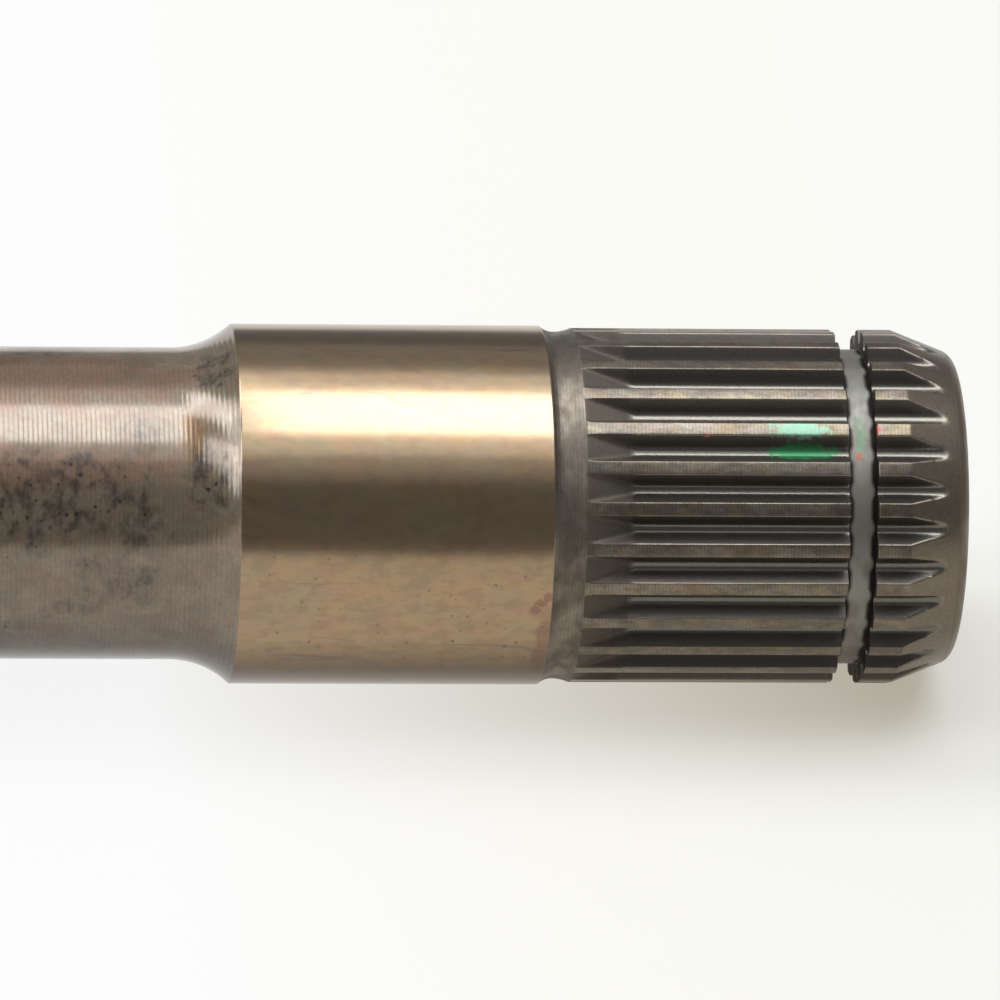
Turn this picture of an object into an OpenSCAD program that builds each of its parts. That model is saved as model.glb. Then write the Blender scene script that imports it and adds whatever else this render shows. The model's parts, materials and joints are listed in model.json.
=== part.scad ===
// Drive shaft turned from one steel bar: a rough-turned shank, a ground journal, an undercut
// neck, an involute spline with run-out ramps, and a groove for a retaining ring.
// Sizes are in millimetres and angles in degrees. X is the shaft's axis, the splined nose
// points to +X, and the origin is the middle of the journal.

/* [Shank] */
// Length of the whole shaft, from the plain end to the nose
overall_l = 254; // [150:1:600]
// Diameter of the rough-turned shank
shank_d = 26; // [20:0.5:28]
// Radius of the concave fillet between the shank and the journal
fillet_r = 7.3; // [4:0.1:12]
// Chamfer on the plain end
end_chamfer = 1.5; // [0.5:0.1:3]

/* [Journal] */
// Diameter of the ground journal
journal_d = 30; // [29.8:0.1:36]
// Length of the ground journal
journal_l = 25.8; // [15:0.1:60]

/* [Neck] */
// Depth of the neck below the tooth tips or the journal, whichever is lower
neck_depth = 0.32; // [0.1:0.02:1]
// Radius of the neck on the journal's side
neck_journal_r = 1.7; // [1:0.1:4]
// Radius of the neck on the spline's side
neck_spline_r = 3.7; // [1:0.1:6]

/* [Spline] */
// Number of teeth
teeth = 27; // [18:1:40]
// Diameter over the tooth tips
spline_d = 29.63; // [25:0.01:34]
// Length of the spline, from the neck's lowest point to the retaining groove
spline_l = 23.4; // [12:0.1:60]
// Pressure angle of the teeth
pressure_angle = 30; // [25:1:40]
// Depth of a tooth space, in modules
tooth_depth = 1.2; // [0.9:0.05:1.4]
// Radius of the fillet at the foot of each flank
root_fillet = 0.3; // [0.1:0.05:0.4]
// Length of the ramp on which a tooth space runs out at the neck
runout_l = 4.2; // [2:0.1:10]

/* [Retaining groove] */
// Width of the groove
groove_w = 2.3; // [1:0.1:4]
// Depth of the groove below the tooth tips
groove_depth = 1.65; // [1:0.05:3]

/* [Nose] */
// Length of the nose, from the groove to the end face
nose_l = 7.9; // [6:0.1:20]
// Length of full teeth between the groove and the lead-in chamfer
stub_l = 2.8; // [1:0.1:4]
// Angle of the lead-in chamfer to the axis
lead_angle = 22; // [10:1:35]
// Radius of the nose's rounded edge
nose_r = 1.5; // [0.5:0.1:1.8]

/* [Centre holes] */
// Diameter of the pilot hole
pilot_d = 3.15; // [1:0.05:5]
// Depth of the pilot hole below the face
pilot_depth = 7; // [5:0.1:12]
// Diameter of the countersink at the face
countersink_d = 6.7; // [5.5:0.1:10]
// Included angle of the countersink
countersink_angle = 60; // [60:15:90]

/* [Hidden] */
$fn = 96;
// Straight steps along a flank and along its root fillet
flank_steps = 4;
fillet_steps = 3;
// How far a cutter reaches past the face that it cuts
past = 1;
// How far a root fillet dips below the root, so that it crosses it cleanly
dip = 0.03;

// Radii
shank_rad = shank_d / 2;
journal_rad = journal_d / 2;
tip_rad = spline_d / 2;
neck_rad = min(tip_rad, journal_rad) - neck_depth;
widest_rad = max(tip_rad, journal_rad);
groove_rad = tip_rad - groove_depth;
module_mm = spline_d / (teeth + 1);
pitch_rad = module_mm * teeth / 2;
base_rad = pitch_rad * cos(pressure_angle);
root_rad = tip_rad - tooth_depth * module_mm;
bore_rad = pilot_d / 2;
countersink_rad = countersink_d / 2;

// Places along the axis
journal_start = -journal_l / 2;
journal_end = journal_l / 2;
fillet_start = journal_start - rise_length(fillet_r, journal_rad - shank_rad);
neck_mid = journal_end + rise_length(neck_journal_r, journal_rad - neck_rad);
spline_start = neck_mid + rise_length(neck_spline_r, tip_rad - neck_rad);
runout_end = spline_start + runout_l;
groove_start = neck_mid + spline_l;
groove_end = groove_start + groove_w;
lead_start = groove_end + stub_l;
nose_end = groove_end + nose_l;
plain_end = nose_end - overall_l;

// Centre of the nose's rounded edge, which touches the lead-in chamfer and the end face
nose_mid = nose_end - nose_r;
nose_rad = tip_rad - (nose_mid - lead_start) * tan(lead_angle) - nose_r / cos(lead_angle);
lead_end = nose_mid + nose_r * sin(lead_angle);
lead_end_rad = nose_rad + nose_r * cos(lead_angle);

// Length along the axis in which an arc, level at its foot, climbs by a given height
function rise_length(arc_r, height) = sqrt(pow(arc_r, 2) - pow(arc_r - min(height, arc_r), 2));

// Involute function, in degrees
function involute(angle) = tan(angle) * 180 / PI - angle;

// Half the angle that a tooth takes up at a given radius
function half_tooth(radius) =
    90 / teeth + involute(pressure_angle) - involute(acos(base_rad / radius));

function polar(radius, angle) = radius * [cos(angle), sin(angle)];

function turned(point, angle) = [
    point.x * cos(angle) - point.y * sin(angle),
    point.x * sin(angle) + point.y * cos(angle)
];

// One flank, from the root fillet's foot to above the tip, of a tooth centred on angle 0
function flank() =
    let (foot = polar(root_rad, half_tooth(root_rad)))
    let (chord = polar(pitch_rad, half_tooth(pitch_rad)) - foot)
    let (along = chord / norm(chord))
    let (across = [-along.y, along.x])
    let (offset_foot = foot + across * root_fillet)
    let (lift = -(offset_foot * along) + sqrt(
        pow(offset_foot * along, 2) - offset_foot * offset_foot + pow(root_rad + root_fillet, 2)))
    let (centre = offset_foot + along * lift)
    let (from_angle = atan2(centre.y, centre.x) + 180)
    let (to_angle = atan2(across.y, across.x) + 180)
    let (low_rad = norm(foot + along * lift))
    let (high_rad = tip_rad + past / 4)
    concat(
        [polar(root_rad - dip, atan2(centre.y, centre.x))],
        [for (i = [1 : fillet_steps - 1])
            centre + polar(root_fillet, from_angle + (to_angle - from_angle) * i / fillet_steps)],
        [for (i = [0 : flank_steps])
            let (radius = low_rad + (high_rad - low_rad) * i / flank_steps)
            polar(radius, half_tooth(radius))]
    );

// Outline across the spline: all teeth, a little taller than the finished tips
module tooth_outline() {
    side = flank();
    last = len(side) - 1;
    rising = [for (point = side) [point.x, -point.y]];
    falling = [for (i = [last : -1 : 0]) side[i]];
    polygon([
        for (tooth = [0 : teeth - 1])
        for (point = concat(rising, falling))
        turned(point, tooth * 360 / teeth)
    ]);
}

// Cut of the neck: two arcs that meet level at its lowest point
module neck_cut() {
    neck_side(neck_journal_r, -1);
    neck_side(neck_spline_r, 1);
}

module neck_side(arc_r, side) {
    height = widest_rad - neck_rad + past;
    translate([neck_rad, neck_mid])
    mirror([0, side < 0 ? 1 : 0])
    intersection() {
        union() {
            translate([arc_r, 0]) circle(arc_r);
            translate([arc_r, 0]) square([height, arc_r]);
        }
        square([arc_r + height, arc_r]);
    }
}

// Half section of the turned blank, before the teeth are cut: radius across, axis upwards
module blank_section() {
    difference() {
        union() {
            polygon([
                [0, plain_end],
                [shank_rad - end_chamfer, plain_end],
                [shank_rad, plain_end + end_chamfer],
                [shank_rad, fillet_start],
                [journal_rad, fillet_start],
                [journal_rad, neck_mid],
                [tip_rad, neck_mid],
                [tip_rad, lead_start],
                [lead_end_rad, lead_end],
                [nose_rad, nose_mid],
                [nose_rad, nose_end],
                [0, nose_end]
            ]);
            translate([nose_rad, nose_mid]) circle(nose_r);
        }
        intersection() {
            translate([shank_rad + fillet_r, fillet_start]) circle(fillet_r);
            translate([shank_rad, fillet_start])
                square([fillet_r, journal_start - fillet_start]);
        }
        neck_cut();
    }
}

// Half section of the core that the tooth spaces leave: it rises on the run-out ramp to clear
// everything before the spline, and runs on past the nose
module core_section() {
    wide = widest_rad + past;
    slope = (tip_rad - root_rad) / runout_l;
    polygon([
        [0, plain_end - past],
        [wide, plain_end - past],
        [wide, spline_start - (wide - tip_rad) / slope],
        [root_rad, runout_end],
        [root_rad, nose_end + past],
        [0, nose_end + past]
    ]);
}

// A centre hole in a face at height 0, with the shaft below it
module centre_hole() {
    half = countersink_angle / 2;
    rotate_extrude()
    polygon([
        [0, past],
        [countersink_rad + past * tan(half), past],
        [bore_rad, -(countersink_rad - bore_rad) / tan(half)],
        [bore_rad, -pilot_depth],
        [0, -pilot_depth - bore_rad * tan(half)]
    ]);
}

// The shaft, one piece of steel
module drive_shaft() {
    color("dimgray")
    rotate([0, 90, 0])
    difference() {
        intersection() {
            rotate_extrude() blank_section();
            union() {
                rotate_extrude() core_section();
                translate([0, 0, neck_mid])
                    linear_extrude(nose_end + past / 2 - neck_mid) tooth_outline();
            }
        }
        translate([0, 0, groove_start])
        difference() {
            cylinder(h = groove_w, r = tip_rad + past);
            translate([0, 0, -past]) cylinder(h = groove_w + 2 * past, r = groove_rad);
        }
        translate([0, 0, nose_end]) centre_hole();
        translate([0, 0, plain_end]) mirror([0, 0, 1]) centre_hole();
    }
}

drive_shaft();
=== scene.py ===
"""Looks of a splined drive shaft: turned shank, ground journal, worn spline, pale studio floor."""
import json
import math
from functools import partial

import bmesh
import bpy
from bpy.props import FloatProperty, FloatVectorProperty, IntProperty, PointerProperty
from mathutils import Matrix, Quaternion, Vector


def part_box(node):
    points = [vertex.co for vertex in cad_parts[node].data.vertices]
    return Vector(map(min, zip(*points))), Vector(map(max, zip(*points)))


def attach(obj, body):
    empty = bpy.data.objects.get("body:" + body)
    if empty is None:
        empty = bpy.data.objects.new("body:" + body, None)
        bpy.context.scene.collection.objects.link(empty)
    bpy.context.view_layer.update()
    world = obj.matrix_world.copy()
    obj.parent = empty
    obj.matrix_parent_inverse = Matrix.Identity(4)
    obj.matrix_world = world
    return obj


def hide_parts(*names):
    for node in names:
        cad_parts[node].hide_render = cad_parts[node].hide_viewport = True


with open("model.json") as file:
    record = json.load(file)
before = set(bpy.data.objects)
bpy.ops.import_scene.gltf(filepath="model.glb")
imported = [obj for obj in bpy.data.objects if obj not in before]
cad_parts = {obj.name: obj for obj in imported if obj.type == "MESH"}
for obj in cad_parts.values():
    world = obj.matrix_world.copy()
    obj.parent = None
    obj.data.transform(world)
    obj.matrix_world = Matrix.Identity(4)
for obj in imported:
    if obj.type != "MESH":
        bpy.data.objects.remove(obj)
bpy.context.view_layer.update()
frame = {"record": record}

bl_info = {
    "name": "Splined Drive Shaft",
    "version": (1, 0, 0),
    "blender": (4, 5, 0),
    "location": "View3D > Sidebar > Drive Shaft",
    "description": "Builds the finished surface of a splined drive shaft and a pale studio stage",
    "category": "Add Mesh",
}

MM = 0.001
NODE = "drive_shaft"
BODY = "root"
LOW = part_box(NODE)[0]
MOUNTS = {mount["name"]: mount for mount in frame["record"]["mounts"]}
JOURNAL = MOUNTS["bearing_journal"]["dims"]
SHANK = MOUNTS["shank_end"]["dims"]

# Zones of the shaft, in the order of their material slots
SHANK_ZONE, JOURNAL_ZONE, NECK_ZONE, TEETH_ZONE, GROOVE_ZONE, NOSE_ZONE = range(6)

# Finishing: the broken edges of turned corners, and the angle past which an edge stays sharp
EDGE = 0.08 * MM
SHARP = math.radians(38)
# Points closer than this are welded, and edges shorter than this are dropped
WELD = 0.002 * MM
SLIVER = 0.0001 * MM
# Half the side of the floor
FLOOR_HALF = 5.0
# Refractive index of iron oxide films
OXIDE_IOR = 2.4
# Half the range of noise over which a patch fades out at its edge
FADE = 0.09
# Elevation of the tooth that catches most light, and half a tooth pitch below it the space
BRIGHT_TOOTH = math.radians(56.67)
BRIGHT_SPACE = math.radians(50.0)


def linear(hex_text):
    """Linear RGBA of an sRGB hex colour."""
    parts = [int(hex_text[i:i + 2], 16) / 255 for i in (1, 3, 5)]
    return [c / 12.92 if c <= 0.04045 else ((c + 0.055) / 1.055) ** 2.4 for c in parts] + [1.0]


def node(tree, kind, inputs=None, **settings):
    """Adds a node with its settings; a node or socket given as an input is linked, a value is set."""
    made = tree.nodes.new(kind)
    for name, value in settings.items():
        setattr(made, name, value)
    for key, value in (inputs or {}).items():
        if isinstance(value, bpy.types.Node):
            value = next(socket for socket in value.outputs if socket.enabled)
        if isinstance(value, bpy.types.NodeSocket):
            tree.links.new(value, made.inputs[key])
        else:
            made.inputs[key].default_value = value
    return made


def length(name, description, default):
    """A length property, given in millimetres and kept in metres."""
    return FloatProperty(name=name, description=description, default=default * MM,
                         subtype="DISTANCE", unit="LENGTH", precision=5)


def angle(name, description, default):
    """An angle property, given in degrees and kept in radians."""
    return FloatProperty(name=name, description=description, default=math.radians(default),
                         subtype="ANGLE", unit="ROTATION")


def colour(name, description, hex_text):
    """A colour property, given as sRGB hex and kept linear."""
    return FloatVectorProperty(name=name, description=description, default=linear(hex_text),
                               size=4, subtype="COLOR", min=0.0, max=1.0)


class ShaftSizes(bpy.types.PropertyGroup):
    """Sizes of the shaft's finished surface."""
    shank_radius: length("Shank radius", "Radius of the turned shank", SHANK["r_mm"])
    fillet_radius: length("Fillet radius", "Concave fillet from the shank to the journal", 7.3)
    end_chamfer: length("End chamfer", "Chamfer on the plain end", 1.5)
    journal_radius: length("Journal radius", "Radius of the ground journal", JOURNAL["r_mm"])
    journal_length: length("Journal length", "Length of the ground journal", JOURNAL["length_mm"])
    neck_depth: length("Neck depth", "Depth of the neck below the tooth tips", 0.32)
    neck_journal_radius: length("Neck, journal side", "Neck arc on the journal's side", 1.7)
    neck_spline_radius: length("Neck, spline side", "Neck arc on the spline's side", 3.7)
    teeth: IntProperty(name="Teeth", description="Number of teeth", default=27, min=6)
    tip_radius: length("Tip radius", "Radius over the tooth tips", 14.815)
    tooth_depth: FloatProperty(name="Tooth depth", description="Tooth depth in modules", default=1.2)
    pressure_angle: angle("Pressure angle", "Pressure angle of the flanks", 30)
    spline_length: length("Spline length", "From the neck's lowest point to the groove", 23.4)
    runout_length: length("Run-out", "Ramp on which a tooth space runs out", 4.2)
    groove_width: length("Groove width", "Width of the retaining groove", 2.3)
    groove_depth: length("Groove depth", "Depth of the groove below the tips", 1.65)
    stub_length: length("Stub length", "Full teeth between the groove and the chamfer", 2.8)
    nose_length: length("Nose length", "From the groove to the end face", 7.9)
    lead_angle: angle("Lead angle", "Angle of the lead-in chamfer", 22)
    nose_radius: length("Nose radius", "Rounded edge of the nose", 1.5)
    pilot_radius: length("Pilot radius", "Pilot of the centre holes", 1.575)
    pilot_depth: length("Pilot depth", "Depth of the centre holes", 7.0)
    countersink_radius: length("Countersink radius", "Mouth of the centre holes", 3.35)
    countersink_half: angle("Countersink half angle", "Half the angle of the centre holes", 30)
    edge_break: length("Edge break", "Blend width along the tooth edges", 0.12)
    root_blend: length("Root blend", "Blend width at the foot of the flanks", 0.6)
    shank_feed: length("Shank feed", "Pitch of the lathe rings on the shank", 0.4)
    fine_feed: length("Fine feed", "Pitch of the finer lathe marks elsewhere", 0.3)


class ShaftColours(bpy.types.PropertyGroup):
    """Colours of the shaft's finishes."""
    shank: colour("Shank", "Turned steel", "#82735f")
    shank_haze: colour("Shank haze", "Grey haze on the shank", "#706353")
    shank_rust: colour("Shank rust", "Brown rust film on the shank", "#7d5f49")
    shank_orange: colour("Shank, orange", "Orange rust at the fillet's foot", "#86643f")
    # This black serves both real pits and smudges and painted shade on the groove walls, in the groove's
    # corners and on the shank's underside
    soot_and_painted_shade: colour("Soot", "Black pits and smudges", "#1d1917")
    journal: colour("Journal", "Ground steel with a straw tint", "#9b7d56")
    journal_pale: colour("Journal, pale", "Greenish grey film on the journal", "#8e8060")
    journal_warm: colour("Journal, warm", "Reddish film on the journal", "#96745c")
    # This dark colour serves both the real hairlines and specks and the painted shade on the journal's
    # underside
    journal_dark_and_painted_shade: colour("Journal, dark", "Hairlines and specks on the journal", "#4a3c2e")
    journal_red: colour("Journal, red", "Red rust creeping in from the neck", "#6f3f30")
    neck: colour("Neck", "Turned grey steel", "#80766a")
    neck_dark: colour("Neck, dark", "Dark film on the neck and the ramps", "#4e463d")
    ramp: colour("Ramp", "Matt brown-grey film on the run-out ramps", "#564e45")
    # The flank colour is darker than oxide alone: it partly paints the shade in the tooth spaces
    flank: colour("Flank", "Black oxide on the flanks", "#4f4943")
    root: colour("Root", "Smooth steel at the foot of the teeth", "#6e6960")
    land: colour("Land", "Grey steel on the tooth tips", "#6a6359")
    land_worn: colour("Worn land", "Bright steel where the tips are rubbed", "#8f8679")
    groove: colour("Groove", "Light grey groove floor", "#86837b")
    nose: colour("Nose", "Brown-grey steel on the nose", "#736859")
    nose_warm: colour("Nose, warm", "Brown film on the nose", "#66523f")
    straw: colour("Straw tint", "Straw-coloured film on the tooth tips", "#85774e")
    rose: colour("Rose tint", "Reddish film on the tooth tips", "#7d5f55")
    green_paint: colour("Green paint", "Dab of green marking paint", "#1c8049")
    pale_green: colour("Pale green", "Green paint rubbed thin", "#668a74")
    red_rust: colour("Red rust", "Fresh specks of red rust", "#a85a45")


class StageSettings(bpy.types.PropertyGroup):
    """Camera, floor and light."""
    # The floor glows though it is no lamp. Its glow is painted fill light that lifts the shadows: strong on
    # the shank's side, weak and warm on the nose's side, where the shade is painted warm. The base colours
    # run from dark to light so that the lit floor stays evenly white.
    floor_left: colour("Floor, left", "Opal sheet on the shank's side", "#2e2e2e")
    floor_right: colour("Floor, right", "Opal sheet on the nose's side", "#a8a8a7")
    painted_warm_shade: colour("Warm glow", "Glow in the shade on the nose's side", "#fff6dd")
    painted_fill_left: FloatProperty(name="Glow, left", description="Floor glow on the shank's side", default=0.9)
    painted_fill_right: FloatProperty(name="Glow, right", description="Floor glow on the nose's side", default=0.33)
    shade_start: length("Shade start", "Where the floor starts to turn to shade", -20)
    shade_end: length("Shade end", "Where the floor has turned to shade", 55)
    lamp: colour("Lamp", "Cool white light of the panels", "#f3f8ff")
    room: colour("Room", "Grey of the dim room", "#85888c")
    room_strength: FloatProperty(name="Room strength", description="Light of the dim room", default=0.85)
    aim: length("Aim", "Point of the axis that the camera faces", 9.8)
    lift: length("Lift", "How far the camera aims above the axis", 0.4)
    distance: length("Distance", "From the camera to the axis", 907)
    yaw: angle("Yaw", "How far the camera stands towards the shank", 5.56)
    elevation: angle("Elevation", "Height of the view above the floor", 31.2)
    roll: angle("Roll", "How far the nose dips in the frame", 0.27)
    lens: FloatProperty(name="Lens", description="Focal length in millimetres", default=390.6)


def arc(radius, start, stop, steps):
    """Points (along, up) of an arc from angle start to stop, measured from straight down."""
    angles = [start + (stop - start) * i / steps for i in range(steps + 1)]
    return [(radius * math.sin(a), -radius * math.cos(a)) for a in angles]


def climb(radius, height):
    """Angle through which an arc, level at its foot, has climbed by a height."""
    return math.acos(1 - height / radius)


class Meridian:
    """The shaft's outline as rows of (place on the axis, radius of the blank, zone)."""

    def __init__(self, size):
        self.size = size
        self.rows = []
        self.module = 2 * size.tip_radius / (size.teeth + 1)
        self.root = size.tip_radius - size.tooth_depth * self.module
        neck = size.tip_radius - size.neck_depth
        self.journal_angle = climb(size.neck_journal_radius, size.journal_radius - neck)
        self.spline_angle = climb(size.neck_spline_radius, size.neck_depth)
        journal_end = size.journal_length / 2
        self.neck_mid = journal_end + size.neck_journal_radius * math.sin(self.journal_angle)
        spline_start = self.neck_mid + size.neck_spline_radius * math.sin(self.spline_angle)
        self.runout_end = spline_start + size.runout_length
        self.slope = (size.tip_radius - self.root) / size.runout_length
        self.groove_start = self.neck_mid + size.spline_length
        self.groove_end = self.groove_start + size.groove_width
        self.lead_start = self.groove_end + size.stub_length
        self.nose_end = self.groove_end + size.nose_length
        self.plain_end = LOW.x
        self.trace()

    def add(self, along, radius, zone):
        self.rows.append((along, radius, zone))

    def spread(self, stop, radius, zone, steps):
        """Rows evenly spaced from the last one to a new place and radius."""
        along, start = self.rows[-1][:2]
        for i in range(1, steps + 1):
            share = i / steps
            self.add(along + (stop - along) * share, start + (radius - start) * share, zone)

    def enter(self, zone):
        """Gives the faces after the last row to another zone."""
        self.rows[-1] = (*self.rows[-1][:2], zone)

    def core(self, along):
        """Radius of the core between the teeth, which climbs on the run-out ramp."""
        return self.root + max(0.0, self.runout_end - along) * self.slope

    def trace(self):
        size = self.size
        cone = math.tan(size.countersink_half)
        sink = (size.countersink_radius - size.pilot_radius) / cone

        # Plain end with its centre hole
        face = self.plain_end
        self.add(face + size.pilot_depth + size.pilot_radius * cone, 0.0, NOSE_ZONE)
        self.add(face + size.pilot_depth, size.pilot_radius, NOSE_ZONE)
        self.add(face + sink, size.pilot_radius, NOSE_ZONE)
        self.spread(face, size.countersink_radius, NOSE_ZONE, 1)
        self.spread(face, size.shank_radius - size.end_chamfer, NOSE_ZONE, 2)
        self.spread(face + size.end_chamfer, size.shank_radius, NOSE_ZONE, 1)

        # Shank, fillet and journal
        journal_start = -size.journal_length / 2
        fillet_angle = climb(size.fillet_radius, size.journal_radius - size.shank_radius)
        fillet_start = journal_start - size.fillet_radius * math.sin(fillet_angle)
        self.enter(SHANK_ZONE)
        self.spread(fillet_start, size.shank_radius, SHANK_ZONE, 6)
        for along, up in arc(size.fillet_radius, 0, fillet_angle, 12)[1:-1]:
            self.add(fillet_start + along, size.shank_radius + size.fillet_radius + up, SHANK_ZONE)
        self.add(journal_start - EDGE, size.journal_radius - EDGE, SHANK_ZONE)
        self.add(journal_start - EDGE / 4, size.journal_radius - EDGE / 4, JOURNAL_ZONE)
        self.add(journal_start + EDGE, size.journal_radius, JOURNAL_ZONE)
        journal_end = size.journal_length / 2
        self.spread(journal_end - EDGE, size.journal_radius, JOURNAL_ZONE, 2)
        self.add(journal_end + EDGE / 4, size.journal_radius - EDGE / 4, NECK_ZONE)

        # Neck: two arcs that meet level at its lowest point
        foot = size.tip_radius - size.neck_depth
        for radius, start, stop in ((size.neck_journal_radius, -self.journal_angle, 0),
                                    (size.neck_spline_radius, 0, self.spline_angle)):
            for along, up in arc(radius, start, stop, 7)[1:]:
                self.add(self.neck_mid + along, foot + radius + up, NECK_ZONE)

        # Spline with its run-out, groove, stub, lead-in chamfer and nose
        tip = size.tip_radius
        floor = tip - size.groove_depth
        self.enter(TEETH_ZONE)
        self.spread(self.runout_end + size.root_blend, tip, TEETH_ZONE, 20)
        self.spread(self.groove_start - EDGE, tip, TEETH_ZONE, 3)
        self.add(self.groove_start, tip - EDGE, TEETH_ZONE)
        self.spread(self.groove_start, floor + EDGE, TEETH_ZONE, 3)
        self.add(self.groove_start + EDGE, floor, GROOVE_ZONE)
        self.spread(self.groove_end - EDGE, floor, GROOVE_ZONE, 2)
        self.add(self.groove_end, floor + EDGE, TEETH_ZONE)
        self.spread(self.groove_end, tip - EDGE, TEETH_ZONE, 3)
        self.add(self.groove_end + EDGE, tip, TEETH_ZONE)
        self.spread(self.lead_start - EDGE, tip, TEETH_ZONE, 1)
        self.add(self.lead_start, tip - EDGE / 3, TEETH_ZONE)
        centre = self.nose_end - size.nose_radius
        centre_up = (tip - (centre - self.lead_start) * math.tan(size.lead_angle)
                     - size.nose_radius / math.cos(size.lead_angle))
        first = math.pi - size.lead_angle
        rounded = arc(size.nose_radius, first, math.pi / 2, 8)
        self.spread(centre + rounded[0][0], centre_up + rounded[0][1], TEETH_ZONE, 14)
        self.enter(NOSE_ZONE)
        for along, up in rounded[1:]:
            self.add(centre + along, centre_up + up, NOSE_ZONE)
        self.spread(self.nose_end, size.countersink_radius, NOSE_ZONE, 2)
        self.spread(self.nose_end - sink, size.pilot_radius, NOSE_ZONE, 1)
        self.add(self.nose_end - size.pilot_depth, size.pilot_radius, NOSE_ZONE)
        self.add(self.nose_end - size.pilot_depth - size.pilot_radius * cone, 0.0, NOSE_ZONE)


def tooth_columns(size, module):
    """Angles across one tooth pitch, from the middle of one space to the next."""
    pitch_radius = module * size.teeth / 2
    quarter = math.pi / (2 * size.teeth)
    lean = math.tan(size.pressure_angle) / pitch_radius
    tip = quarter - (size.tip_radius - pitch_radius) * lean
    root = quarter + (pitch_radius - size.tip_radius + size.tooth_depth * module) * lean
    edge = size.edge_break * lean
    fillet = size.root_blend * lean
    marks = [(tip - edge, 2), (tip + edge, 3), (root - fillet, 4), (root + fillet, 4),
             (math.pi / size.teeth, 1)]
    half = [0.0]
    for mark, steps in marks:
        start = half[-1]
        half += [start + (mark - start) * i / steps for i in range(1, steps + 1)]
    return [-turn for turn in reversed(half[1:])] + half


def pitch_grid(size, line):
    """A flat grid for one tooth pitch: its points carry what the tree needs to place them."""
    columns = tooth_columns(size, line.module)
    count = len(columns)
    points = [(along, turn, 0.0) for along, _, _ in line.rows for turn in columns]
    faces = []
    zones = []
    for row in range(len(line.rows) - 1):
        for column in range(count - 1):
            corner = row * count + column
            faces.append((corner, corner + count, corner + count + 1, corner + 1))
            zones.append(line.rows[row][2])
    mesh = bpy.data.meshes.new("tooth_pitch")
    mesh.from_pydata(points, [], faces)
    values = {
        "along": [along for along, _, _ in line.rows for _ in columns],
        "turn": columns * len(line.rows),
        "blank": [radius for _, radius, _ in line.rows for _ in columns],
        "core": [line.core(along) for along, _, _ in line.rows for _ in columns],
    }
    for name, numbers in values.items():
        mesh.attributes.new(name, "FLOAT", "POINT").data.foreach_set("value", numbers)
    mesh.attributes.new("zone", "INT", "FACE").data.foreach_set("value", zones)
    return mesh


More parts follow.
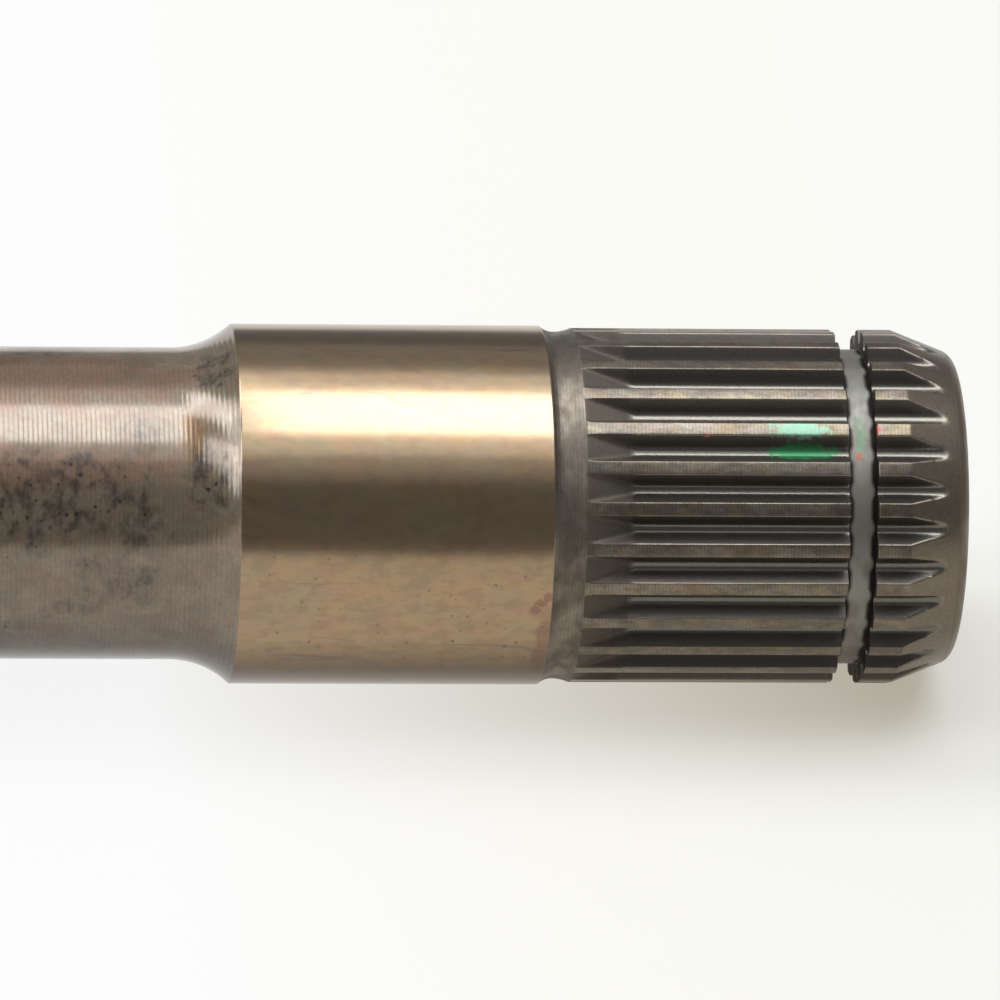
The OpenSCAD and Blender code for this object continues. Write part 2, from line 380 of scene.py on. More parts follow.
def spline_tree(materials):
    """Geometry nodes: wraps a tooth pitch round the axis, cuts its spaces and repeats it."""
    tree = bpy.data.node_groups.new("spline_teeth", "GeometryNodeTree")
    face = tree.interface
    face.new_socket("Geometry", in_out="INPUT", socket_type="NodeSocketGeometry")
    face.new_socket("Teeth", in_out="INPUT", socket_type="NodeSocketInt")
    for name in ("Pitch Radius", "Pressure Angle", "Edge Break", "Root Blend"):
        face.new_socket(name, in_out="INPUT", socket_type="NodeSocketFloat")
    face.new_socket("Geometry", in_out="OUTPUT", socket_type="NodeSocketGeometry")
    add = partial(node, tree)
    given = add("NodeGroupInput").outputs
    along, turn, blank, core = (
        add("GeometryNodeInputNamedAttribute", {"Name": name}, data_type="FLOAT")
        for name in ("along", "turn", "blank", "core"))
    zone = add("GeometryNodeInputNamedAttribute", {"Name": "zone"}, data_type="INT")

    # Radius of a flank at each angle, straight at the pressure angle
    quarter = add("ShaderNodeMath", {0: math.pi / 2, 1: given["Teeth"]}, operation="DIVIDE")
    aside = add("ShaderNodeMath", {0: turn}, operation="ABSOLUTE")
    inside = add("ShaderNodeMath", {0: quarter, 1: aside}, operation="SUBTRACT")
    width = add("ShaderNodeMath", {0: inside, 1: given["Pitch Radius"]}, operation="MULTIPLY")
    lean = add("ShaderNodeMath", {0: given["Pressure Angle"]}, operation="TANGENT")
    rise = add("ShaderNodeMath", {0: width, 1: lean}, operation="DIVIDE")
    flank = add("ShaderNodeMath", {0: given["Pitch Radius"], 1: rise}, operation="ADD")
    cut = add("ShaderNodeMath", {0: core, 1: flank, 2: given["Root Blend"]}, operation="SMOOTH_MAX")
    soft = add("ShaderNodeMath", {0: blank, 1: cut, 2: given["Edge Break"]}, operation="SMOOTH_MIN")
    radius = add("ShaderNodeMath", {0: soft, 1: 0.0}, operation="MAXIMUM")

    # One tooth points straight down, where the turn is zero
    sine = add("ShaderNodeMath", {0: turn}, operation="SINE")
    cosine = add("ShaderNodeMath", {0: turn}, operation="COSINE")
    sideways = add("ShaderNodeMath", {0: radius, 1: sine}, operation="MULTIPLY")
    down = add("ShaderNodeMath", {0: radius, 1: cosine}, operation="MULTIPLY")
    upwards = add("ShaderNodeMath", {0: down, 1: -1.0}, operation="MULTIPLY")
    place = add("ShaderNodeCombineXYZ", {"X": along, "Y": sideways, "Z": upwards})
    # What the finishes need to know: how deep a point lies, and whether it is on a flank
    depth = add("ShaderNodeMath", {0: blank, 1: radius}, operation="SUBTRACT")
    above = add("ShaderNodeMath", {0: flank, 1: core}, operation="SUBTRACT")
    shape = given["Geometry"]
    for name, value in (("depth", depth), ("above_core", above)):
        shape = add("GeometryNodeStoreNamedAttribute",
                    {"Geometry": shape, "Name": name, "Value": value}, data_type="FLOAT")
    wrapped = add("GeometryNodeSetPosition", {"Geometry": shape, "Position": place})

    points = add("GeometryNodeMeshLine", {"Count": given["Teeth"], "Offset": (0.0, 0.0, 0.0)})
    pitch = add("ShaderNodeMath", {0: 2 * math.pi, 1: given["Teeth"]}, operation="DIVIDE")
    index = add("GeometryNodeInputIndex")
    swing = add("ShaderNodeMath", {0: index, 1: pitch}, operation="MULTIPLY")
    rotation = add("FunctionNodeAxisAngleToRotation", {"Axis": (1.0, 0.0, 0.0), "Angle": swing})
    repeated = add("GeometryNodeInstanceOnPoints",
                   {"Points": points, "Instance": wrapped, "Rotation": rotation})
    shape = add("GeometryNodeRealizeInstances", {"Geometry": repeated})
    shape = add("GeometryNodeMergeByDistance", {"Geometry": shape, "Distance": WELD})
    for number, material in enumerate(materials):
        here = add("FunctionNodeCompare", {2: zone, 3: number}, data_type="INT", operation="EQUAL")
        shape = add("GeometryNodeSetMaterial",
                    {"Geometry": shape, "Selection": here, "Material": material})
    add("NodeGroupOutput", {"Geometry": shape})
    return tree


def steel(name):
    """A bare metal to build a finish on: its material, tree, shader and Object coordinates."""
    material = bpy.data.materials.new(name)
    material.use_nodes = True
    tree = material.node_tree
    tree.nodes.clear()
    shader = node(tree, "ShaderNodeBsdfPrincipled", {"Metallic": 1.0})
    node(tree, "ShaderNodeOutputMaterial", {"Surface": shader})
    place = node(tree, "ShaderNodeTexCoord").outputs["Object"]
    return material, tree, shader, place


def patches(tree, place, along, around, cover, seed):
    """Cloudy patches as a mask, given their length along the axis, width round it, and cover."""
    grid = node(tree, "ShaderNodeVectorMath", {
        0: place, 1: (1 / along, 1 / around, 1 / around), 2: (seed, seed, seed)},
        operation="MULTIPLY_ADD")
    cloud = node(tree, "ShaderNodeTexNoise", {
        "Vector": grid, "Scale": 1.0, "Detail": 2.0, "Roughness": 0.65})
    # The noise gathers round one half, so its share above a level falls twice as fast
    level = 0.5 + (0.5 - cover) * 0.5
    return node(tree, "ShaderNodeMapRange", {
        "Value": cloud, "From Min": level - FADE, "From Max": level + FADE})


def specks(tree, place, spacing, radius, share, seed):
    """Small uneven specks as a mask, in a share of the cells of a loose grid."""
    moved = node(tree, "ShaderNodeVectorMath", {0: place, 1: (seed, seed, seed)}, operation="ADD")
    rag = node(tree, "ShaderNodeTexNoise", {"Vector": place, "Scale": 1 / (2 * radius), "Detail": 1.0})
    uneven = node(tree, "ShaderNodeVectorMath", {
        0: rag.outputs["Color"], 1: (radius, radius, radius), 2: moved},
        operation="MULTIPLY_ADD")
    cells = node(tree, "ShaderNodeTexVoronoi", {"Vector": uneven, "Scale": 1 / spacing})
    lot = node(tree, "ShaderNodeSeparateXYZ", {"Vector": cells.outputs["Color"]})
    drawn = node(tree, "ShaderNodeMath", {0: lot, 1: share}, operation="LESS_THAN")
    largest = radius / spacing
    reach = node(tree, "ShaderNodeMapRange", {
        "Value": lot.outputs["Y"], "To Min": 0.35 * largest, "To Max": largest})
    near = node(tree, "ShaderNodeMath", {0: cells.outputs["Distance"], 1: reach}, operation="DIVIDE")
    dot = node(tree, "ShaderNodeMapRange", {"Value": near, "From Min": 1.0, "From Max": 0.3})
    return node(tree, "ShaderNodeMath", {0: dot, 1: drawn}, operation="MULTIPLY")


def hairlines(tree, place, reach, width, cover, seed):
    """Fine handling scratches as a mask: contour lines of a long cloud, broken up by patches."""
    drawn_out = node(tree, "ShaderNodeVectorMath", {
        0: place, 1: (0.12 / reach, 1 / reach, 1 / reach)}, operation="MULTIPLY")
    cloud = node(tree, "ShaderNodeTexNoise", {"Vector": drawn_out, "Scale": 1.0, "Detail": 2.0})
    level = node(tree, "ShaderNodeMath", {0: cloud, 1: 0.5}, operation="SUBTRACT")
    off = node(tree, "ShaderNodeMath", {0: level}, operation="ABSOLUTE")
    line = node(tree, "ShaderNodeMapRange", {
        "Value": off, "From Min": width / reach, "From Max": 0.0})
    where = patches(tree, place, along=reach, around=reach / 2, cover=cover, seed=seed)
    return node(tree, "ShaderNodeMath", {0: line, 1: where}, operation="MULTIPLY")


def lathe_marks(tree, place, pitch, facing=False):
    """Grooves left by a turning tool, from 0 to 1, worn away in places; facing cuts round the face."""
    # At scale 1 a wave repeats every pi / 10 of a metre
    wave = node(tree, "ShaderNodeTexWave", {
        "Vector": place, "Scale": math.pi / (10 * pitch), "Distortion": 0.6, "Detail": 1.0,
        "Detail Scale": 0.25}, wave_type="RINGS" if facing else "BANDS",
        bands_direction="X", rings_direction="X")
    kept = patches(tree, place, along=4 * MM, around=9 * MM, cover=0.8, seed=5.0)
    return node(tree, "ShaderNodeMath", {0: wave, 1: kept}, operation="MULTIPLY")


def smear(tree, place, along, elevation, radius, half):
    """One ragged smear as a mask: its place along the axis, its angle above the front, the radius
    of the surface, and half its length and width."""
    centre = (along, -radius * math.cos(elevation), radius * math.sin(elevation))
    away = node(tree, "ShaderNodeVectorMath", {0: place, 1: centre}, operation="SUBTRACT")
    scaled = node(tree, "ShaderNodeVectorMath", {
        0: away, 1: (1 / half[0], 1 / half[1], 1 / half[1])}, operation="MULTIPLY")
    distance = node(tree, "ShaderNodeVectorMath", {0: scaled}, operation="LENGTH")
    rag = node(tree, "ShaderNodeTexNoise", {
        "Vector": place, "Scale": 1.5 / half[1], "Detail": 2.0, "Roughness": 0.7})
    ragged = node(tree, "ShaderNodeMath", {0: rag, 1: 1.8, 2: distance.outputs["Value"]},
                  operation="MULTIPLY_ADD")
    return node(tree, "ShaderNodeMapRange", {"Value": ragged, "From Min": 1.85, "From Max": 1.45})


def underside(tree, place, start, stop):
    """The underside as a mask, which fades in from a start height to a stop height below it."""
    height = node(tree, "ShaderNodeSeparateXYZ", {"Vector": place}).outputs["Z"]
    return node(tree, "ShaderNodeMapRange", {"Value": height, "From Min": start, "From Max": stop})


def films(tree, base, layers):
    """Lays coloured films over a base colour, each as strong as its mask says."""
    for mask, strength, film in layers:
        share = node(tree, "ShaderNodeMath", {0: mask, 1: strength}, operation="MULTIPLY")
        base = node(tree, "ShaderNodeMix", {0: share, 6: base, 7: film}, data_type="RGBA")
    return base


def relief(tree, shader, heights):
    """Gives a finish its relief, from masks and the real depth of each in metres."""
    normal = None
    for mask, depth in heights:
        inputs = {"Height": mask, "Distance": depth}
        if normal:
            inputs["Normal"] = normal
        normal = node(tree, "ShaderNodeBump", inputs)
    tree.links.new(normal.outputs[0], shader.inputs["Normal"])


def dress(tree, shader, base, mask, smooth, rough):
    """Links a finish's colour to its shader, with a roughness between two values by a mask."""
    roughness = node(tree, "ShaderNodeMapRange", {"Value": mask, "To Min": smooth, "To Max": rough})
    tree.links.new(roughness.outputs[0], shader.inputs["Roughness"])
    tree.links.new(base.outputs[2], shader.inputs["Base Color"])


def turned_shank(size, tone):
    """Carbon steel turned and left bare: rings that comb the light, a brown film that is partly painted
    warm light at the highlight's edges, and black pits.
    """
    material, tree, shader, place = steel("turned_carbon_steel")
    # The rust film scatters half the light, and its high index keeps the highlight white
    shader.inputs["Metallic"].default_value = 0.5
    shader.inputs["Coat IOR"].default_value = OXIDE_IOR
    shader.inputs["Coat Roughness"].default_value = 0.14
    rings = lathe_marks(tree, place, size.shank_feed)
    troughs = node(tree, "ShaderNodeMath", {0: 1.0, 1: rings}, operation="SUBTRACT")
    haze = patches(tree, place, along=3 * MM, around=2.5 * MM, cover=0.5, seed=11.0)
    rust = patches(tree, place, along=1.8 * MM, around=1.6 * MM, cover=0.45, seed=23.0)
    grain = patches(tree, place, along=0.3 * MM, around=0.4 * MM, cover=0.45, seed=61.0)
    smudge = patches(tree, place, along=1.0 * MM, around=1.3 * MM, cover=0.45, seed=31.0)
    pits = specks(tree, place, spacing=0.8 * MM, radius=0.28 * MM, share=0.7, seed=0.2)
    # Black gathers in clusters, most of all on the front and beside the journal
    cluster = patches(tree, place, along=9 * MM, around=7 * MM, cover=0.25, seed=47.0)
    for along, elevation, half in ((-28.0, 31, (11.0, 5.5)), (-14.9, 41, (3.0, 3.2)),
                                   (-14.6, 84, (2.4, 3.0))):
        stain = smear(tree, place, along * MM, math.radians(elevation), size.shank_radius,
                      [part * MM for part in half])
        cluster = node(tree, "ShaderNodeMath", {0: cluster, 1: stain}, operation="MAXIMUM")
    # Rust lies in two bands along the top and in one spot at the fillet's foot; the two bands run along
    # both edges of the highlight, and their warm colour is partly painted warm light at those edges
    brown = smear(tree, place, -32 * MM, math.radians(84), size.shank_radius, (19 * MM, 4.4 * MM))
    rust_and_highlight_fringe = smear(tree, place, -32 * MM, math.radians(44), size.shank_radius, (19 * MM, 2.6 * MM))
    spot = smear(tree, place, -16.8 * MM, math.radians(57), size.shank_radius, (1.3 * MM, 2.4 * MM))
    smudge = node(tree, "ShaderNodeMath", {0: smudge, 1: cluster}, operation="MULTIPLY")
    pits = node(tree, "ShaderNodeMath", {0: pits, 1: cluster}, operation="MULTIPLY")
    # Painted shade on the underside: it darkens the bottom and takes the film's gloss away
    painted_underside_shade = underside(tree, place, start=-3 * MM, stop=-7.5 * MM)
    gloss = node(tree, "ShaderNodeMapRange", {"Value": painted_underside_shade, "To Min": 0.15, "To Max": 0.0})
    tree.links.new(gloss.outputs[0], shader.inputs["Coat Weight"])
    base = films(tree, tone.shank, (
        (haze, 0.7, tone.shank_haze), (brown, 0.8, tone.shank_rust), (rust_and_highlight_fringe, 0.8, tone.shank_rust),
        (rust, 0.4, tone.shank_rust), (spot, 0.7, tone.shank_orange), (grain, 0.16, tone.soot_and_painted_shade),
        (troughs, 0.1, tone.soot_and_painted_shade), (cluster, 0.15, tone.soot_and_painted_shade), (smudge, 0.6, tone.soot_and_painted_shade),
        (pits, 0.9, tone.soot_and_painted_shade), (painted_underside_shade, 0.5, tone.soot_and_painted_shade)))
    dress(tree, shader, base, mask=rust, smooth=0.16, rough=0.2)
    relief(tree, shader, ((rings, 0.011 * MM),))
    return material


def ground_journal(size, tone):
    """Ground bearing steel tinted straw by heat: a clean gloss, cloudy tints, hairlines, specks."""
    material, tree, shader, place = steel("ground_straw_tinted_steel")
    # The oxide film that tints it has a high index, which keeps the brightest light white
    shader.inputs["Coat IOR"].default_value = OXIDE_IOR
    shader.inputs["Coat Roughness"].default_value = 0.16
    pale = patches(tree, place, along=3.5 * MM, around=2.4 * MM, cover=0.5, seed=3.0)
    warm = patches(tree, place, along=2.2 * MM, around=1.5 * MM, cover=0.45, seed=17.0)
    dull = patches(tree, place, along=1.6 * MM, around=0.9 * MM, cover=0.45, seed=43.0)
    scratches = hairlines(tree, place, reach=6 * MM, width=0.04 * MM, cover=0.4, seed=29.0)
    dots = specks(tree, place, spacing=1.1 * MM, radius=0.27 * MM, share=0.9, seed=0.4)
    # Specks and mottling show below the gloss
    lower = underside(tree, place, start=6 * MM, stop=3 * MM)
    dots = node(tree, "ShaderNodeMath", {0: dots, 1: lower}, operation="MULTIPLY")
    mottle = node(tree, "ShaderNodeMath", {0: dull, 1: lower}, operation="MULTIPLY")
    # Rust creeps in from the neck: a tan tongue that ends in a dark red hook
    tongue = smear(tree, place, 12.6 * MM, math.radians(-24), size.journal_radius, (1.0 * MM, 6.0 * MM))
    hook = 0.0
    for along, elevation in ((11.6, -4.0), (12.0, -1.5), (12.6, 0.6)):
        bit = smear(tree, place, along * MM, math.radians(elevation), size.journal_radius,
                    (0.6 * MM, 0.6 * MM))
        hook = node(tree, "ShaderNodeMath", {0: bit, 1: hook}, operation="MAXIMUM")
    # Painted shade on the underside: it darkens the bottom and takes the film's gloss away
    painted_underside_shade = underside(tree, place, start=-4.5 * MM, stop=-8.5 * MM)
    gloss = node(tree, "ShaderNodeMapRange", {"Value": painted_underside_shade, "To Min": 0.33, "To Max": 0.05})
    tree.links.new(gloss.outputs[0], shader.inputs["Coat Weight"])
    base = films(tree, tone.journal, (
        (pale, 0.5, tone.journal_pale), (warm, 0.45, tone.journal_warm), (dull, 0.13, tone.journal_dark_and_painted_shade),
        (mottle, 0.1, tone.journal_dark_and_painted_shade), (tongue, 0.55, tone.journal_red), (hook, 0.65, tone.journal_red),
        (scratches, 0.5, tone.journal_dark_and_painted_shade), (dots, 0.8, tone.journal_dark_and_painted_shade),
        (painted_underside_shade, 0.75, tone.journal_dark_and_painted_shade)))
    dress(tree, shader, base, mask=pale, smooth=0.195, rough=0.21)
    relief(tree, shader, ((dots, -0.003 * MM),))
    return material


def turned_neck(size, tone):
    """Fine-turned steel gone dull: faint rings and a brown-grey film."""
    material, tree, shader, place = steel("fine_turned_dull_steel")
    rings = lathe_marks(tree, place, size.fine_feed)
    film = patches(tree, place, along=2.5 * MM, around=4 * MM, cover=0.55, seed=13.0)
    dirt = patches(tree, place, along=0.5 * MM, around=0.8 * MM, cover=0.4, seed=19.0)
    base = films(tree, tone.neck, (
        (film, 0.55, tone.neck_dark), (dirt, 0.3, tone.neck_dark), (rings, 0.2, tone.neck_dark)))
    dress(tree, shader, base, mask=film, smooth=0.4, rough=0.52)
    relief(tree, shader, ((rings, 0.005 * MM),))
    return material


def hobbed_teeth(size, tone, line):
    """Hobbed alloy steel: dark flanks, partly oxide and partly painted shade in the spaces, smooth roots,
    tips rubbed grey with cross marks.
    """
    material, tree, shader, place = steel("hobbed_alloy_steel")
    add = partial(node, tree)
    depth = add("ShaderNodeAttribute", attribute_name="depth").outputs["Fac"]
    above = add("ShaderNodeAttribute", attribute_name="above_core").outputs["Fac"]
    along = add("ShaderNodeSeparateXYZ", {"Vector": place})
    # Where on a tooth a point lies, by its depth below the blank, its height above the core and its
    # place on the axis: tip land, the land's rubbed rim, flank, run-out ramp, groove wall, lead-in
    land = add("ShaderNodeMapRange", {"Value": depth, "From Min": 0.1 * MM, "From Max": 0.03 * MM})
    sunk = add("ShaderNodeMath", {0: 1.0, 1: land}, operation="SUBTRACT")
    rim = add("ShaderNodeMapRange", {"Value": depth, "From Min": 0.005 * MM, "From Max": 0.03 * MM})
    rim = add("ShaderNodeMath", {0: rim, 1: land}, operation="MULTIPLY")
    full = add("ShaderNodeMath", {0: along, 1: line.runout_end}, operation="GREATER_THAN")
    rim = add("ShaderNodeMath", {0: rim, 1: full}, operation="MULTIPLY")
    flank = add("ShaderNodeMapRange", {"Value": above, "From Min": 0.0, "From Max": 0.25 * MM})
    flank = add("ShaderNodeMath", {0: flank, 1: sunk}, operation="MULTIPLY")
    ramp = add("ShaderNodeMapRange", {
        "Value": along, "From Min": line.runout_end, "From Max": line.runout_end - 0.6 * MM})
    falling = add("ShaderNodeMapRange", {"Value": depth, "From Min": 0.001 * MM, "From Max": 0.015 * MM})
    ramp = add("ShaderNodeMath", {0: ramp, 1: falling}, operation="MULTIPLY")
    # The groove walls: the black they get below is painted shade, not dirt
    wall = add("ShaderNodeMapRange", {
        "Value": along, "From Min": line.groove_start - EDGE / 2, "From Max": line.groove_start})
    beyond = add("ShaderNodeMath", {0: along, 1: line.groove_end + EDGE / 2}, operation="LESS_THAN")
    wall = add("ShaderNodeMath", {0: wall, 1: beyond}, operation="MULTIPLY")
    lead = add("ShaderNodeMapRange", {
        "Value": along, "From Min": line.lead_start, "From Max": line.lead_start + EDGE})
    plain = add("ShaderNodeMath", {0: 1.0, 1: lead}, operation="SUBTRACT")
    tips = add("ShaderNodeMath", {0: land, 1: plain}, operation="MULTIPLY")

    cross = lathe_marks(tree, place, size.fine_feed)
    cross = add("ShaderNodeMath", {0: cross, 1: tips}, operation="MULTIPLY")
    worn = patches(tree, place, along=5 * MM, around=2 * MM, cover=0.5, seed=7.0)
    film = patches(tree, place, along=1.2 * MM, around=0.6 * MM, cover=0.45, seed=37.0)
    fine = patches(tree, place, along=0.25 * MM, around=0.25 * MM, cover=0.4, seed=67.0)
    rust = specks(tree, place, spacing=1.9 * MM, radius=0.2 * MM, share=0.18, seed=0.6)
    straw = patches(tree, place, along=2 * MM, around=1.5 * MM, cover=0.4, seed=73.0)
    rose = patches(tree, place, along=1.5 * MM, around=1.2 * MM, cover=0.4, seed=79.0)
    tip = films(tree, tone.land, (
        (worn, 0.6, tone.land_worn), (straw, 0.45, tone.straw), (rose, 0.4, tone.rose),
        (film, 0.4, tone.neck_dark), (cross, 0.3, tone.neck_dark), (lead, 0.8, tone.nose)))
    # The flanks' dark colour is partly painted shade in the tooth spaces, and the black on the groove walls
    # is painted shade
    base = films(tree, tone.root, (
        (flank, 0.95, tone.flank), (land, 1.0, tip), (ramp, 0.9, tone.ramp),
        (rim, 0.4, tone.land_worn), (wall, 0.9, tone.soot_and_painted_shade), (fine, 0.16, tone.soot_and_painted_shade),
        (rust, 0.3, tone.red_rust)))
    # Dabs of paint and rust, and how much of the steel's gloss each takes away
    dabs = (
        (33.4, BRIGHT_TOOTH, size.tip_radius, (3.0, 1.0), tone.pale_green, 0.1),
        (33.5, BRIGHT_SPACE, line.root, (3.4, 0.9), tone.green_paint, 0.6),
        (39.7, BRIGHT_TOOTH, size.tip_radius, (0.5, 0.7), tone.red_rust, 0.7),
        (25.6, math.radians(54), size.tip_radius, (0.3, 0.35), tone.red_rust, 0.7),
    )
    painted = 0.0
    for where, elevation, radius, half, paint, cover in dabs:
        mask = smear(tree, place, where * MM, elevation, radius, [part * MM for part in half])
        base = films(tree, base, ((mask, 0.85, paint),))
        thick = add("ShaderNodeMath", {0: mask, 1: cover}, operation="MULTIPLY")
        painted = add("ShaderNodeMath", {0: thick, 1: painted}, operation="MAXIMUM")
    bare = add("ShaderNodeMapRange", {"Value": painted, "To Min": 0.84, "To Max": 0.1})
    tree.links.new(bare.outputs[0], shader.inputs["Metallic"])
    matt = add("ShaderNodeMath", {0: ramp, 1: wall}, operation="MAXIMUM")
    for mask, share in ((flank, 0.5), (land, 0.15), (painted, 0.4)):
        dull = add("ShaderNodeMath", {0: mask, 1: share}, operation="MULTIPLY")
        matt = add("ShaderNodeMath", {0: matt, 1: dull}, operation="MAXIMUM")
    dress(tree, shader, base, mask=matt, smooth=0.24, rough=0.62)
    relief(tree, shader, ((cross, 0.006 * MM), (fine, 0.003 * MM)))
    return material


def groove_floor(size, tone, line):
    """Plunge-turned steel gone matt grey: pale and dull, with painted shade darkening the corners."""
    material, tree, shader, place = steel("plunge_turned_matt_steel")
    add = partial(node, tree)
    along = add("ShaderNodeSeparateXYZ", {"Vector": place})
    middle = (line.groove_start + line.groove_end) / 2
    aside = add("ShaderNodeMath", {0: along, 1: middle}, operation="SUBTRACT")
    aside = add("ShaderNodeMath", {0: aside}, operation="ABSOLUTE")
    # Painted shade darkens the corners: it lies wider under the ends of the teeth than under the spaces,
    # where the walls are taller
    above = add("ShaderNodeAttribute", attribute_name="above_core").outputs["Fac"]
    under = add("ShaderNodeMapRange", {
        "Value": above, "From Min": -0.3 * MM, "From Max": 0.8 * MM, "To Min": 0.0, "To Max": 0.22 * MM})
    reach = add("ShaderNodeMath", {0: aside, 1: under}, operation="ADD")
    corner = add("ShaderNodeMapRange", {
        "Value": reach, "From Min": size.groove_width / 2 - 0.35 * MM,
        "From Max": size.groove_width / 2 - 0.05 * MM})
    haze = patches(tree, place, along=1.5 * MM, around=3 * MM, cover=0.5, seed=41.0)
    floor = size.tip_radius - size.groove_depth
    green = smear(tree, place, 38.7 * MM, BRIGHT_TOOTH, floor, (0.8 * MM, 2.0 * MM))
    red = smear(tree, place, 38.4 * MM, math.radians(49.5), floor, (0.35 * MM, 0.5 * MM))
    base = films(tree, tone.groove, (
        (haze, 0.3, tone.neck), (green, 0.3, tone.green_paint), (red, 0.7, tone.red_rust),
        (corner, 0.95, tone.soot_and_painted_shade)))
    dress(tree, shader, base, mask=haze, smooth=0.5, rough=0.62)
    relief(tree, shader, ((haze, 0.008 * MM),))
    return material


def nose_steel(size, tone):
    """Faced and rounded steel gone brown: satin, with rings round the end faces."""
    material, tree, shader, place = steel("faced_brown_steel")
    shader.inputs["Metallic"].default_value = 0.72
    rings = lathe_marks(tree, place, size.fine_feed, facing=True)
    film = patches(tree, place, along=4 * MM, around=5 * MM, cover=0.5, seed=53.0)
    dirt = specks(tree, place, spacing=1.4 * MM, radius=0.2 * MM, share=0.3, seed=0.8)
    base = films(tree, tone.nose, (
        (film, 0.6, tone.nose_warm), (rings, 0.2, tone.neck_dark), (dirt, 0.6, tone.soot_and_painted_shade)))
    dress(tree, shader, base, mask=film, smooth=0.36, rough=0.46)
    relief(tree, shader, ((rings, 0.004 * MM), (film, 0.008 * MM)))
    return material


class SHAFT_OT_body(bpy.types.Operator):
    """Builds the shaft's finished surface in place of the plain solid"""
    bl_idname = "drive_shaft.body"
    bl_label = "Build shaft"

    def execute(self, context):
        size = context.scene.shaft_sizes
        tone = context.scene.shaft_colours
        line = Meridian(size)
        materials = [turned_shank(size, tone), ground_journal(size, tone), turned_neck(size, tone),
                     hobbed_teeth(size, tone, line), groove_floor(size, tone, line),
                     nose_steel(size, tone)]
        tree = spline_tree(materials)
        grid = bpy.data.objects.new("tooth_pitch", pitch_grid(size, line))
        context.collection.objects.link(grid)
        modifier = grid.modifiers.new("spline", "NODES")
        modifier.node_group = tree
        values = {
            "Teeth": size.teeth,
            "Pitch Radius": line.module * size.teeth / 2,
            "Pressure Angle": size.pressure_angle,
            "Edge Break": size.edge_break,
            "Root Blend": size.root_blend,
        }
        for socket in tree.interface.items_tree:
            if socket.in_out == "INPUT" and socket.name in values:
                modifier[socket.identifier] = values[socket.name]
        evaluated = grid.evaluated_get(context.evaluated_depsgraph_get())
        mesh = bpy.data.meshes.new_from_object(evaluated)
        mesh.name = "splined_shaft"
        grid.modifiers.remove(modifier)
        bpy.data.objects.remove(grid)
        sheet = bmesh.new()
        sheet.from_mesh(mesh)
        bmesh.ops.dissolve_degenerate(sheet, dist=SLIVER, edges=sheet.edges)
        bmesh.ops.recalc_face_normals(sheet, faces=sheet.faces)
        open_edges = sum(1 for edge in sheet.edges if not edge.is_manifold)
        sheet.to_mesh(mesh)
        sheet.free()
        if open_edges:
            raise RuntimeError(f"the shaft's surface has {open_edges} open edges")
        mesh.shade_smooth()
        mesh.set_sharp_from_angle(angle=SHARP)
        shaft = bpy.data.objects.new("splined_shaft", mesh)
        context.collection.objects.link(shaft)
        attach(shaft, BODY)
        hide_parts(NODE)
        return {"FINISHED"}


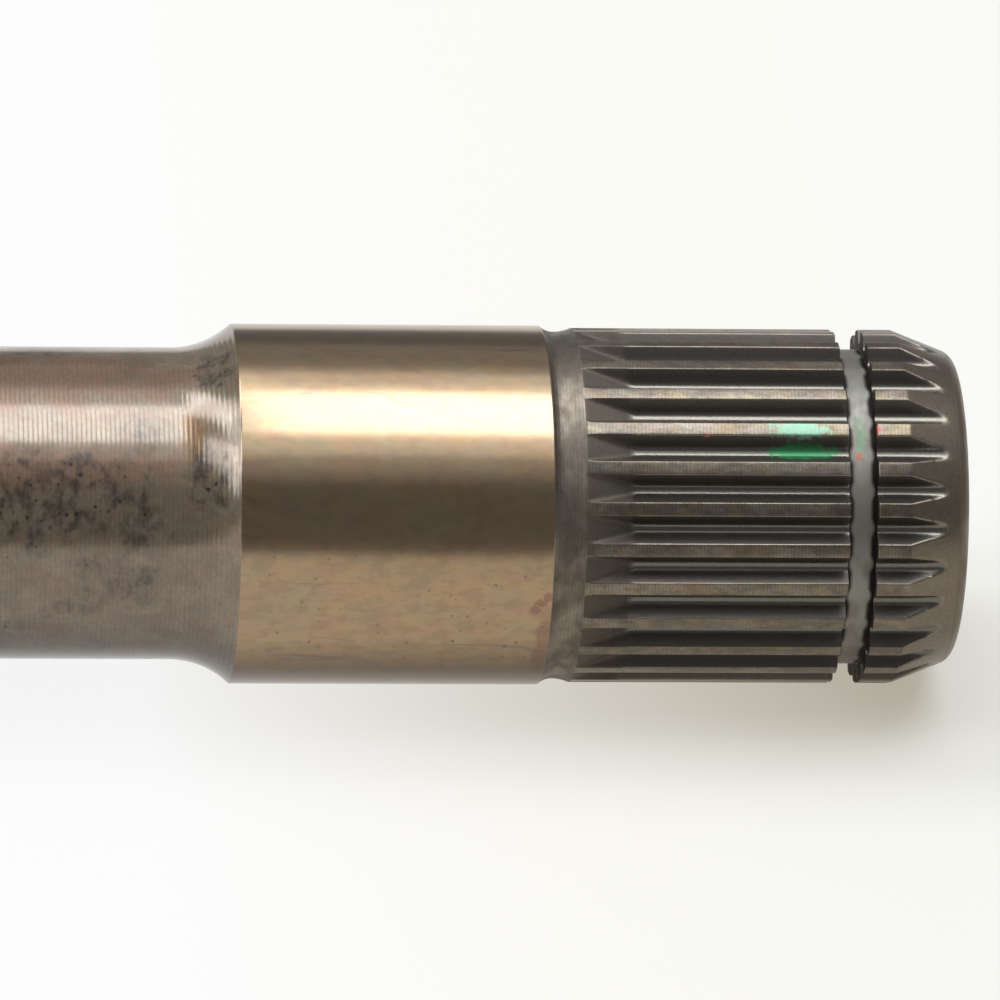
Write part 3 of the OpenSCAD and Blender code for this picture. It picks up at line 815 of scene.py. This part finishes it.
class SHAFT_OT_stage(bpy.types.Operator):
    """Lays the floor, hangs the lights and sets up the camera"""
    bl_idname = "drive_shaft.stage"
    bl_label = "Build stage"

    def execute(self, context):
        stage = context.scene.shaft_stage
        self.floor(context, stage)
        self.lights(context, stage)
        self.camera(context, stage)
        context.scene.view_settings.view_transform = "Standard"
        return {"FINISHED"}

    def floor(self, context, stage):
        mesh = bpy.data.meshes.new("floor")
        corners = [(-1, -1), (1, -1), (1, 1), (-1, 1)]
        mesh.from_pydata([(x * FLOOR_HALF, y * FLOOR_HALF, LOW.z) for x, y in corners], [], [(0, 1, 2, 3)])
        # A floor that glows though it is no lamp: a soft white glow as painted fill light, a little
        # stronger on the shank's side, where it all but lifts the shadow, and warm on the nose's side as
        # painted warm shade
        material = bpy.data.materials.new("glowing_floor_painted_fill")
        material.use_nodes = True
        tree = material.node_tree
        shader = tree.nodes["Principled BSDF"]
        shader.inputs["Roughness"].default_value = 0.9
        place = node(tree, "ShaderNodeTexCoord").outputs["Object"]
        along = node(tree, "ShaderNodeSeparateXYZ", {"Vector": place})
        share = node(tree, "ShaderNodeMapRange", {
            "Value": along, "From Min": stage.shade_start, "From Max": stage.shade_end})
        glow = node(tree, "ShaderNodeMapRange", {
            "Value": share, "To Min": stage.painted_fill_left, "To Max": stage.painted_fill_right})
        tree.links.new(glow.outputs[0], shader.inputs["Emission Strength"])
        for socket, left, right in (("Base Color", stage.floor_left, stage.floor_right),
                                    ("Emission Color", linear("#ffffff"), stage.painted_warm_shade)):
            graded = node(tree, "ShaderNodeMix", {0: share, 6: left, 7: right}, data_type="RGBA")
            tree.links.new(graded.outputs[2], shader.inputs[socket])
        mesh.materials.append(material)
        floor = bpy.data.objects.new("floor", mesh)
        context.collection.objects.link(floor)

    def lights(self, context, stage):
        # Name, place, point it faces, spin in degrees, width and depth, radiance
        panels = (
            ("overhead_panel", (0.24, 0.03, 0.8), (0.24, 0.03, 0.0), 0, (0.64, 0.44), 4.7),
            ("inner_glow", (0.2, 0.06, 0.82), (0.2, 0.06, 0.0), 0, (0.8, 0.98), 0.95),
            ("outer_glow", (0.2, -0.05, 0.84), (0.2, -0.05, 0.0), 0, (0.95, 1.5), 0.25),
            ("left_panel", (-0.64, 0.3, 0.8), (-0.64, 0.3, 0.0), 0, (1.05, 0.33), 5.2),
            ("low_left_panel", (-0.71, -0.16, 0.53), (-0.016, 0.0, 0.0), -21, (0.29, 0.88), 3.5),
            ("ceiling", (0.0, 0.9, 1.3), (0.0, 0.9, 0.0), 0, (3.0, 3.8), 0.22),
            ("side_window", (-0.95, 0.2, 0.45), (0.0, 0.0, 0.0), 0, (0.6, 0.5), 3.0),
        )
        for name, place, target, spin, (wide, deep), radiance in panels:
            data = bpy.data.lights.new(name, "AREA")
            data.shape = "RECTANGLE"
            data.size = wide
            data.size_y = deep
            data.color = stage.lamp[:3]
            data.energy = radiance * math.pi * wide * deep
            lamp = bpy.data.objects.new(name, data)
            lamp.location = place
            aim = Vector(target) - Vector(place)
            spun = Quaternion((0.0, 0.0, 1.0), math.radians(spin))
            lamp.rotation_euler = (aim.to_track_quat("-Z", "Y") @ spun).to_euler()
            context.collection.objects.link(lamp)
        world = bpy.data.worlds.new("dim_room")
        world.use_nodes = True
        sky = world.node_tree.nodes["Background"]
        sky.inputs["Color"].default_value = stage.room
        sky.inputs["Strength"].default_value = stage.room_strength
        context.scene.world = world

    def camera(self, context, stage):
        back = Vector((-math.sin(stage.yaw),
                       -math.cos(stage.yaw) * math.cos(stage.elevation),
                       math.cos(stage.yaw) * math.sin(stage.elevation)))
        axis = Vector((1.0, 0.0, 0.0))
        right = (axis - back * axis.dot(back)).normalized()
        up = back.cross(right)
        turn = Matrix.Rotation(stage.roll, 3, back)
        right = turn @ right
        up = turn @ up
        place = axis * stage.aim + up * stage.lift + back * stage.distance
        data = bpy.data.cameras.new("camera")
        data.lens = stage.lens
        data.clip_end = 50.0
        camera = bpy.data.objects.new("camera", data)
        camera.matrix_world = Matrix((
            (right.x, up.x, back.x, place.x),
            (right.y, up.y, back.y, place.y),
            (right.z, up.z, back.z, place.z),
            (0.0, 0.0, 0.0, 1.0)))
        context.collection.objects.link(camera)
        context.scene.camera = camera


class SHAFT_PT_panel(bpy.types.Panel):
    """Lists the shaft's operators"""
    bl_idname = "SHAFT_PT_panel"
    bl_label = "Drive Shaft"
    bl_space_type = "VIEW_3D"
    bl_region_type = "UI"
    bl_category = "Drive Shaft"

    def draw(self, context):
        self.layout.operator(SHAFT_OT_body.bl_idname)
        self.layout.operator(SHAFT_OT_stage.bl_idname)
        for group in (context.scene.shaft_sizes, context.scene.shaft_colours, context.scene.shaft_stage):
            for name in group.__annotations__:
                self.layout.prop(group, name)


CLASSES = (ShaftSizes, ShaftColours, StageSettings, SHAFT_OT_body, SHAFT_OT_stage, SHAFT_PT_panel)


def register():
    for item in CLASSES:
        bpy.utils.register_class(item)
    bpy.types.Scene.shaft_sizes = PointerProperty(type=ShaftSizes)
    bpy.types.Scene.shaft_colours = PointerProperty(type=ShaftColours)
    bpy.types.Scene.shaft_stage = PointerProperty(type=StageSettings)


def unregister():
    del bpy.types.Scene.shaft_stage
    del bpy.types.Scene.shaft_colours
    del bpy.types.Scene.shaft_sizes
    for item in reversed(CLASSES):
        bpy.utils.unregister_class(item)


def main():
    register()
    bpy.ops.drive_shaft.body()
    bpy.ops.drive_shaft.stage()


if __name__ == "__main__":
    main()
